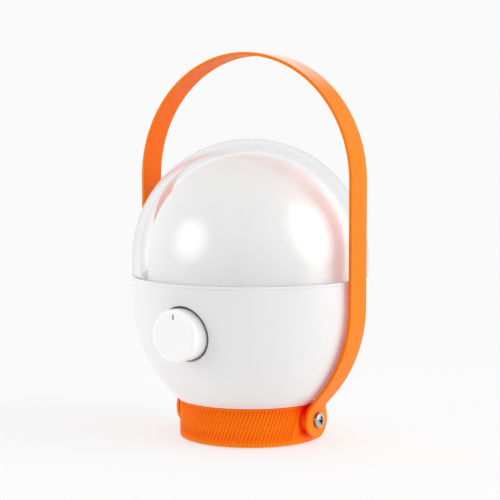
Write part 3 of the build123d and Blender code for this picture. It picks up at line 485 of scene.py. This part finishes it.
def dress_cad_nodes():
    """Every CAD node takes the finish made for its own material slot."""
    for cad_node in frame["nodes"].values():
        for holder in cad_node.material_slots:
            holder.material = materials[holder.material.name]


# ---------------------------------------------------------------- mesh helpers


def arc(centre_x, centre_y, radius, start, stop, steps):
    """Points on an arc; angles in degrees."""
    turns = [radians(start + (stop - start) * k / steps) for k in range(steps + 1)]
    return [(centre_x + radius * cos(a), centre_y + radius * sin(a)) for a in turns]


def rounded(corners, steps=5):
    """Closed outline from (x, y) points and (x, y, radius) corners, which become arcs of that radius."""
    outline = []
    for k, corner in enumerate(corners):
        if len(corner) == 2:
            outline.append(corner)
            continue
        here = Vector(corner[:2])
        before = (Vector(corners[k - 1][:2]) - here).normalized()
        after = (Vector(corners[(k + 1) % len(corners)][:2]) - here).normalized()
        half_angle = acos(max(-1.0, min(1.0, before.dot(after)))) / 2
        reach = corner[2] / tan(half_angle)
        centre = here + (before + after).normalized() * corner[2] / sin(half_angle)
        first = here + before * reach - centre
        last = here + after * reach - centre
        swing = first.angle_signed(last)
        for step in range(steps + 1):
            arm = first.copy()
            arm.rotate(Matrix.Rotation(-swing * step / steps, 2))
            outline.append(tuple(centre + arm))
    return outline


ON_AXIS = 1e-7


def lathe(outline, steps):
    """Closed (radius, height) outline turned about Z. Points on the axis become poles."""
    mesh = bmesh.new()
    rings = []
    for radius, height in outline:
        if radius < ON_AXIS:
            rings.append([mesh.verts.new((0.0, 0.0, height))] * steps)
            continue
        angles = [2 * pi * k / steps for k in range(steps)]
        rings.append([mesh.verts.new((radius * cos(a), radius * sin(a), height)) for a in angles])
    for ring, following in zip(rings, rings[1:] + rings[:1]):
        for k in range(steps):
            after = (k + 1) % steps
            corners = []
            for corner in (ring[k], ring[after], following[after], following[k]):
                if corner not in corners:
                    corners.append(corner)
            if len(corners) > 2:
                mesh.faces.new(corners)
    return mesh


def piece(name, mesh, slot, body, nodes, sharp=35.0):
    """Turns a bmesh into a finished piece that rides on a body and stands for its CAD nodes."""
    bmesh.ops.recalc_face_normals(mesh, faces=mesh.faces)
    data = bpy.data.meshes.new(name)
    mesh.to_mesh(data)
    mesh.free()
    data.polygons.foreach_set("use_smooth", [True] * len(data.polygons))
    data.set_sharp_from_angle(angle=radians(sharp))
    data.materials.append(materials[slot])
    made = bpy.data.objects.new(name, data)
    bpy.context.scene.collection.objects.link(made)
    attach(made, body)
    if nodes:
        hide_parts(*nodes)
    return made


def cut(target, cutters, operation="DIFFERENCE"):
    """Cuts bmesh solids out of a bmesh, or joins them to it, and gives the result."""

    def temporary(mesh):
        data = bpy.data.meshes.new("temporary")
        bmesh.ops.recalc_face_normals(mesh, faces=mesh.faces)
        mesh.to_mesh(data)
        mesh.free()
        made = bpy.data.objects.new("temporary", data)
        bpy.context.scene.collection.objects.link(made)
        return made

    block = temporary(target)
    tools = [temporary(cutter) for cutter in cutters]
    for tool in tools:
        change = block.modifiers.new("cut", "BOOLEAN")
        change.operation = operation
        change.solver = "EXACT"
        change.object = tool
    seen = block.evaluated_get(bpy.context.evaluated_depsgraph_get())
    result = bmesh.new()
    result.from_mesh(seen.to_mesh())
    seen.to_mesh_clear()
    for used in (block, *tools):
        data = used.data
        bpy.data.objects.remove(used)
        bpy.data.meshes.remove(data)
    return result


# ---------------------------------------------------------------- domes and seal

dome_wall = 3.0 * MM
ROUND_STEPS = 256


def clear_dome():
    inner = body_radius - dome_wall
    spigot_inner = 43.5 * MM
    spigot_outer = 45.3 * MM
    spigot_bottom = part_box("clear_dome")[0].z
    seam_round = 0.1 * MM
    window_round = 0.12 * MM
    ledge_round = 0.2 * MM
    spigot_round = 0.3 * MM
    corner_round = 0.15 * MM
    outside = arc(0, dome_centre, body_radius, 0, 90, 72)
    inside = arc(0, dome_centre, inner, 90, 0, 72)
    outline = rounded([
        (body_radius, rim_bottom, seam_round),
        *outside[:-1],
        (0.0, dome_top),
        (0.0, dome_top - dome_wall),
        *inside[1:],
        (inner, rim_top, window_round),
        (spigot_inner, rim_top, ledge_round),
        (spigot_inner, spigot_bottom, spigot_round),
        (spigot_outer, spigot_bottom, spigot_round),
        (spigot_outer, rim_bottom, corner_round),
    ])
    piece("dome_window", lathe(outline, ROUND_STEPS), "clear_plastic", "body", ["clear_dome"])


def diffuser():
    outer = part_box("diffuser_dome")[1].z - dome_centre
    wall = 1.6 * MM
    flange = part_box("diffuser_dome")[1].x
    flange_inner = 39.3 * MM
    flange_height = 1.5 * MM
    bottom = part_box("diffuser_dome")[0].z
    foot_round = 0.2 * MM
    flange_round = 0.3 * MM
    neck_round = 0.8 * MM
    step_round = 0.1 * MM
    outside = arc(0, dome_centre, outer, 0, 90, 64)
    inside = arc(0, dome_centre, outer - wall, 90, 0, 64)
    flange_top = bottom + flange_height
    outline = rounded([
        (flange_inner, bottom, foot_round),
        (flange, bottom, foot_round),
        (flange, flange_top, flange_round),
        (outer, flange_top, neck_round),
        *outside[:-1],
        (0.0, dome_centre + outer),
        (0.0, dome_centre + outer - wall),
        *inside[1:],
        (outer - wall, flange_top, foot_round),
        (flange_inner, flange_top, step_round),
    ])
    piece("diffuser_shell", lathe(outline, ROUND_STEPS), "opal_plastic", "body", ["diffuser_dome"])


def seal():
    low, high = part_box("dome_seal")
    inner = 45.6 * MM
    set_back = 0.06 * MM
    lip = body_radius - set_back
    lip_round = 0.04 * MM
    inner_round = 0.08 * MM
    outline = rounded([
        (inner, low.z, inner_round),
        (lip, low.z, lip_round),
        (lip, high.z, lip_round),
        (inner, high.z, inner_round),
    ], steps=3)
    piece("seam_seal", lathe(outline, ROUND_STEPS), "seal_rubber", "body", ["dome_seal"])


# ---------------------------------------------------------------- ribbed collar

pivot = joint_at["handle_swing"]


def turned_block(outline, frame_matrix, steps=96):
    block = lathe(outline, steps)
    bmesh.ops.transform(block, matrix=frame_matrix, verts=block.verts)
    return block


def facing_x(side, x):
    """Frame whose Z axis points outward along the pivot axis from distance x."""
    turn = Matrix.Rotation(side * pi / 2, 4, "Y")
    return Matrix.Translation((side * x, 0.0, pivot.z)) @ turn


def slot_cutter(centre, width, height, depth):
    """Stadium-shaped block along Y, for the openings of the charging port and its light pipes. The depth is
    how far it reaches each way from its centre."""
    half = (width - height) / 2
    points = arc(half, 0, height / 2, -90, 90, 24) + arc(-half, 0, height / 2, 90, 270, 24)
    block = bmesh.new()
    ends = []
    for y in (centre.y - depth, centre.y + depth):
        ends.append([block.verts.new((centre.x + px, y, centre.z + pz)) for px, pz in points])
    block.faces.new(ends[0])
    block.faces.new(ends[1])
    for k in range(len(points)):
        after = (k + 1) % len(points)
        block.faces.new((ends[0][k], ends[0][after], ends[1][after], ends[1][k]))
    return block


def collar():
    low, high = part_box("base_collar")
    outer = high.y
    wall = 2.6 * MM
    inner = outer - wall
    flange_inner = 20.5 * MM
    flange_thickness = 2.2 * MM
    flange_bottom = high.z - flange_thickness
    pitch = 3.0  # degrees between ribs
    depth = 0.42 * MM
    narrowing = 1.2  # above 1, a groove is narrower than a plain wave
    foot_round = 0.5 * MM
    edge_round = 0.3 * MM
    flange_edge = 0.2 * MM
    lean = 19.0  # degrees from upright
    across = 12  # columns in one rib
    foot = low.z + 0.9 * MM
    head = high.z - 0.8 * MM
    turn = degrees((head - foot) * tan(radians(lean)) / outer)
    smooth_sectors = ((0, 13.5), (180, 13.5), (90, 23))  # middle and half angle: two pads and the port

    def rib_shows(centre):
        middle = centre + turn / 2
        for stop, half_width in smooth_sectors:
            away = abs((middle - stop + 180) % 360 - 180)
            if away < half_width + turn / 2:
                return False
        return True

    # each row: radius, height, how far the columns have leaned, how deep the ribs are
    rows = [(inner, low.z + edge_round, 0.0, 0.0), (inner + edge_round, low.z, 0.0, 0.0)]
    bottom_edge = arc(outer - foot_round, low.z + foot_round, foot_round, -90, 0, 6)
    rows += [(x, z, 0.0, 0.0) for x, z in bottom_edge]
    # each step of the ramp: millimetres past a rib's end and the share of its depth there
    ramp = ((-0.3, 0.0), (-0.1, 0.12), (0.1, 0.45), (0.3, 0.8), (0.5, 0.97), (0.75, 1.0))
    ramp_end = ramp[-1][0] * MM
    straight_rows = 8
    for step, share in ramp:
        height = foot + step * MM
        rows.append((outer, height, (height - foot) / (head - foot), share))
    for k in range(1, straight_rows):
        height = foot + ramp_end + (head - foot - 2 * ramp_end) * k / straight_rows
        rows.append((outer, height, (height - foot) / (head - foot), 1.0))
    for step, share in reversed(ramp):
        height = head - step * MM
        rows.append((outer, height, (height - foot) / (head - foot), share))
    top_edge = arc(outer - edge_round, high.z - edge_round, edge_round, 0, 90, 4)
    rows += [(x, z, 1.0, 0.0) for x, z in top_edge]
    rows += [
        (flange_inner + flange_edge, high.z, 0.0, 0.0),
        (flange_inner, high.z - flange_edge, 0.0, 0.0),
        (flange_inner, flange_bottom, 0.0, 0.0),
        (inner, flange_bottom, 0.0, 0.0),
    ]
    count = round(360 / pitch) * across
    mesh = bmesh.new()
    rings = []
    for radius, height, leaned, share in rows:
        ring = []
        for k in range(count):
            nearest = round(k / across) * pitch
            phase = (k / across - round(k / across)) * 2 * pi
            groove = (0.5 + 0.5 * cos(phase)) ** narrowing if rib_shows(nearest % 360) else 0.0
            reach = radius - depth * share * groove
            angle = radians(k * 360 / count + turn * leaned)
            ring.append(mesh.verts.new((reach * cos(angle), reach * sin(angle), height)))
        rings.append(ring)
    for ring, following in zip(rings, rings[1:] + rings[:1]):
        for k in range(count):
            after = (k + 1) % count
            mesh.faces.new((ring[k], ring[after], following[after], following[k]))

    pad_radius = 6.2 * MM
    pad_bore = 1.6 * MM
    pad_root = inner + 0.6 * MM  # inside the wall, so that the pads join it
    pad_length = high.x - pad_root
    outline = rounded([
        (pad_bore, 0.0),
        (pad_radius, 0.0),
        (pad_radius, pad_length, edge_round),
        (pad_bore, pad_length),
    ])
    pads = [turned_block(outline, facing_x(side, pad_root)) for side in (-1, 1)]
    joined = cut(mesh, pads, "UNION")
    port_low, port_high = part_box("port_shell")
    pipe_low, pipe_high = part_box("light_pipes")
    play = 0.35 * MM
    pipe_play = 0.05 * MM
    cut_reach = 4 * MM
    port_centre = Vector((0.0, outer, (port_low.z + port_high.z) / 2))
    port_size = port_high - port_low
    cutters = [slot_cutter(port_centre, port_size.x + 2 * play, port_size.z + 2 * play, cut_reach)]
    pipe_radius = (pipe_high.z - pipe_low.z) / 2
    for x in (pipe_low.x + pipe_radius, pipe_high.x - pipe_radius):
        centre = Vector((x, outer, port_centre.z))
        across_hole = 2 * (pipe_radius + pipe_play)
        cutters.append(slot_cutter(centre, across_hole, across_hole, cut_reach))
    opened = cut(joined, cutters)
    piece("ribbed_collar", opened, "orange_collar", "body", ["base_collar"], sharp=50)


# ---------------------------------------------------------------- strap handle


def strap():
    thickness = 1.3 * MM
    middle = strap_high.x - thickness / 2  # half the distance between the two straight legs
    lug_radius = strap_high.y
    lug_outer = 32.3 * MM
    lug_x = lug_outer - thickness / 2
    hole_radius = 2.35 * MM
    width = 11.8 * MM
    neck = 10.0 * MM
    neck_z = 15.0 * MM
    full_z = 19.5 * MM
    bend_outer = 55.0 * MM
    bend_radius = bend_outer - thickness / 2
    bend_x = middle - bend_radius
    bend_z = 56.5 * MM
    bend_angle = 41.0
    kink_radius = 5.0 * MM
    spacing = 1.6 * MM
    cut_z = pivot.z + 3.0 * MM  # where the round lug's grid meets the strap's grid

    bend_ray = Vector((cos(radians(bend_angle)), -sin(radians(bend_angle))))
    bend_end = Vector((bend_x, bend_z)) + bend_radius * bend_ray
    down = Vector((-sin(radians(bend_angle)), -cos(radians(bend_angle))))
    kink = bend_end + down * ((lug_x - bend_end.x) / down.x)
    tangent = kink_radius * tan(radians(bend_angle / 2))
    kink_start = Vector((lug_x, kink.y - tangent))
    kink_centre = kink_start + Vector((kink_radius, 0.0))
    kink_end = kink - down * tangent

    line = []  # (x, z) of the strap's middle surface, from the lug's neck to the top

    def run(start, stop):
        steps = max(2, round((stop - start).length / spacing))
        for k in range(steps):
            line.append(start.lerp(stop, k / steps))

    def bend(centre, radius, start, stop):
        steps = max(4, round(abs(radians(stop - start)) * radius / spacing))
        for k in range(steps):
            angle = radians(start + (stop - start) * k / steps)
            line.append(centre + Vector((cos(angle), sin(angle))) * radius)

    run(Vector((lug_x, cut_z)), kink_start)
    bend(kink_centre, kink_radius, 180, 180 - bend_angle)
    run(kink_end, bend_end)
    bend(Vector((bend_x, bend_z)), bend_radius, -bend_angle, 0)
    run(Vector((middle, bend_z)), Vector((middle, strap_arch)))
    bend(Vector((0.0, strap_arch)), middle, 0, 90)
    top = Vector((0.0, strap_arch + middle))

    def half_width(z):
        rise = z - pivot.z
        disc = sqrt(lug_radius ** 2 - rise ** 2) if rise < lug_radius else 0.0
        share = max(0.0, min(1.0, (z - neck_z) / (full_z - neck_z)))
        band = (neck + (width - neck) * share) / 2
        if disc <= 0.0:
            return band
        softness = 3.0 * MM  # rounds the inside corner between lug and neck
        lead = max(band, disc)
        return lead + max(0.0, softness - abs(band - disc)) ** 2 / (4 * softness)

    across = 18
    mesh = bmesh.new()

    def add_row(point, side):
        row = []
        for j in range(across + 1):
            y = half_width(point.y) * (2 * j / across - 1)
            row.append(mesh.verts.new((side * point.x, y, point.y)))
        return row

    right = [add_row(point, 1) for point in line]
    left = [add_row(point, -1) for point in line]
    rows = right + [add_row(top, 1)] + left[::-1]
    for row, following in zip(rows, rows[1:]):
        for j in range(across):
            mesh.faces.new((row[j], row[j + 1], following[j + 1], following[j]))

    rise = cut_z - pivot.z
    edge_angle = atan(half_width(cut_z) / rise)
    rest_steps = 48
    layers = 6
    for side, seam in ((1, right[0]), (-1, left[0])):
        rim = [(vertex.co.y, vertex.co.z) for vertex in seam]
        for k in range(1, rest_steps):
            angle = edge_angle + (2 * pi - 2 * edge_angle) * k / rest_steps
            rim.append((lug_radius * sin(angle), pivot.z + lug_radius * cos(angle)))
        rings = [list(seam)]
        for k in range(1, rest_steps):
            y, z = rim[across + k]
            rings[0].append(mesh.verts.new((side * lug_x, y, z)))
        for layer in range(1, layers + 1):
            share = layer / layers
            ring = []
            for y, z in rim:
                length = hypot(y, z - pivot.z)
                hole_y = hole_radius * y / length
                hole_z = pivot.z + hole_radius * (z - pivot.z) / length
                place_at = (side * lug_x, y + (hole_y - y) * share, z + (hole_z - z) * share)
                ring.append(mesh.verts.new(place_at))
            rings.append(ring)
        for ring, following in zip(rings, rings[1:]):
            for k in range(len(ring)):
                after = (k + 1) % len(ring)
                mesh.faces.new((ring[k], ring[after], following[after], following[k]))

    made = piece("handle_strap", mesh, "orange_strap", "handle", ["carry_strap"], sharp=180)
    wall = made.modifiers.new("wall", "SOLIDIFY")
    wall.thickness = thickness
    wall.offset = 0.0
    wall.use_even_offset = True
    soften = made.modifiers.new("soften", "BEVEL")
    soften.width = 0.32 * MM
    soften.segments = 4
    soften.limit_method = "ANGLE"
    soften.angle_limit = radians(60)
    soften.harden_normals = True


# ---------------------------------------------------------------- pivot screws


def cross_recess(top, depth):
    """Tapered cross of two crossing wedges, for the driver."""
    wedges = []
    for turn in (0.0, pi / 2):
        wedge = bmesh.new()
        levels = []
        mouth = (top + 0.3 * MM, 2.1 * MM, 0.66 * MM)  # height, half length and half thickness
        tip = (top - depth, 0.9 * MM, 0.4 * MM)
        for height, length, thick in (mouth, tip):
            corners = ((-length, -thick), (length, -thick), (length, thick), (-length, thick))
            levels.append([wedge.verts.new((x, y, height)) for x, y in corners])
        wedge.faces.new(levels[0])
        wedge.faces.new(levels[1])
        for k in range(4):
            after = (k + 1) % 4
            wedge.faces.new((levels[0][k], levels[0][after], levels[1][after], levels[1][k]))
        bmesh.ops.rotate(wedge, verts=wedge.verts, matrix=Matrix.Rotation(turn, 3, "Z"))
        wedges.append(wedge)
    return wedges


def pivot_screws():
    head_height = 1.9 * MM
    recess_depth = 1.3 * MM
    head_radius = 3.0 * MM
    shank_radius = 1.48 * MM
    shank_length = 8.0 * MM
    head_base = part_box("pivot_screws")[1].x - head_height
    dome_radius = 6.5 * MM  # the head's slight crown
    crown_edge = 2.3 * MM
    shoulder_drop = 0.75 * MM
    under_edge = 0.12 * MM
    tip_length = 0.45 * MM
    tip_share = 0.7
    steps = 8
    crown = []
    for k in range(steps + 1):
        radius = crown_edge * (1 - k / steps)
        crown.append((radius, head_height - dome_radius + sqrt(dome_radius ** 2 - radius ** 2)))
    shoulder_height = crown[0][1] - shoulder_drop
    outline = [
        (0.0, -shank_length),
        (shank_radius * tip_share, -shank_length),
        (shank_radius, -shank_length + tip_length),
        (shank_radius, 0.0),
        (head_radius - under_edge, 0.0),
        (head_radius, under_edge),
    ]
    for k in range(steps + 1):
        angle = radians(90 * k / steps)
        outline.append((
            crown_edge + (head_radius - crown_edge) * cos(angle),
            shoulder_height + (crown[0][1] - shoulder_height) * sin(angle),
        ))
    outline += crown[1:]
    for side, label in ((1, "right"), (-1, "left")):
        head = cut(lathe(outline, 96), cross_recess(head_height, recess_depth))
        bmesh.ops.transform(head, matrix=facing_x(side, head_base), verts=head.verts)
        nodes = ["pivot_screws"] if side == 1 else []
        piece("pivot_screw_" + label, head, "plated_steel", "body", nodes, sharp=40)


# ---------------------------------------------------------------- knob and its mark


def knob():
    low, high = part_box("knob")
    axis_z = joint_at["knob_turn"].z
    radius = high.x
    depth = high.y - low.y
    hollow = 7.2 * MM
    hub = 4.6 * MM
    bore = 3.02 * MM
    face_thickness = 2.1 * MM
    bore_end = depth - face_thickness
    edge = 1.5 * MM
    back_edge = 0.35 * MM
    hollow_round = 0.3 * MM
    bore_round = 0.2 * MM
    dish_radius = 8.4 * MM
    dish = 0.12 * MM
    to_front = Matrix.Translation((0.0, high.y, axis_z)) @ Matrix.Rotation(pi / 2, 4, "X")
    face = []
    dish_steps = 10
    for k in range(dish_steps):
        out = dish_radius * (1 - k / dish_steps)
        face.append((out, depth - dish * (0.5 + 0.5 * cos(pi * out / dish_radius))))
    outline = rounded([
        (0.0, bore_end),
        (bore, bore_end),
        (bore, hub, bore_round),
        (hollow, hub, hollow_round),
        (hollow, 0.0, hollow_round),
        (radius, 0.0, back_edge),
        (radius, depth, edge),
        *face,
        (0.0, depth - dish),
    ], steps=10)
    body = lathe(outline, 192)
    bmesh.ops.transform(body, matrix=to_front, verts=body.verts)
    piece("knob_cap", body, "white_knob", "knob", ["knob"])

    mark_low, mark_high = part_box("knob_marker")
    half_width = (mark_high.x - mark_low.x) / 2
    centre_z = (mark_low.z + mark_high.z) / 2
    half_run = (mark_high.z - mark_low.z) / 2 - half_width
    mark = bmesh.new()
    rings = []
    proud = 0.05 * MM
    sunk = 0.3 * MM
    for inset, height in ((0.0, -sunk), (0.0, 0.0), (0.04 * MM, 0.6 * proud), (0.12 * MM, proud)):
        size = half_width - inset
        points = arc(0, half_run, size, 0, 180, 16) + arc(0, -half_run, size, 180, 360, 16)
        rings.append([mark.verts.new((x, mark_low.y - height, centre_z + z)) for x, z in points])
    mark.faces.new(rings[0])
    mark.faces.new(rings[-1])
    for ring, following in zip(rings, rings[1:]):
        for k in range(len(ring)):
            after = (k + 1) % len(ring)
            mark.faces.new((ring[k], ring[after], following[after], following[k]))
    piece("knob_mark", mark, "grey_mark", "knob", ["knob_marker"])


# ---------------------------------------------------------------- rubber foot


def foot():
    low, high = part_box("foot_pad")
    groove_centres = (14.0 * MM, 17.5 * MM, 21.0 * MM)
    groove_depth = 0.4 * MM
    half_groove = 0.5 * MM
    groove_round = 0.15 * MM
    foot_round = 0.5 * MM
    top_round = 0.2 * MM
    corners = [(0.0, high.z), (0.0, low.z)]
    for centre in groove_centres:
        corners += [
            (centre - half_groove, low.z, groove_round),
            (centre - half_groove, low.z + groove_depth, groove_round),
            (centre + half_groove, low.z + groove_depth, groove_round),
            (centre + half_groove, low.z, groove_round),
        ]
    corners += [(high.x, low.z, foot_round), (high.x, high.z, top_round)]
    piece("foot_ring", lathe(rounded(corners, steps=4), 192), "foot_rubber", "body", ["foot_pad"])


bpy.context.scene.view_settings.view_transform = "Standard"
add_camera()
add_room()
add_softbox("softbox_left", side_angle=-62.0, elevation=16.0, distance=1.1, size=1.1, power=6.3)
add_softbox("softbox_right", side_angle=68.0, elevation=22.0, distance=1.1, size=1.6, power=13.6)
add_floor()
dress_cad_nodes()
clear_dome()
diffuser()
seal()
collar()
strap()
pivot_screws()
knob()
foot()
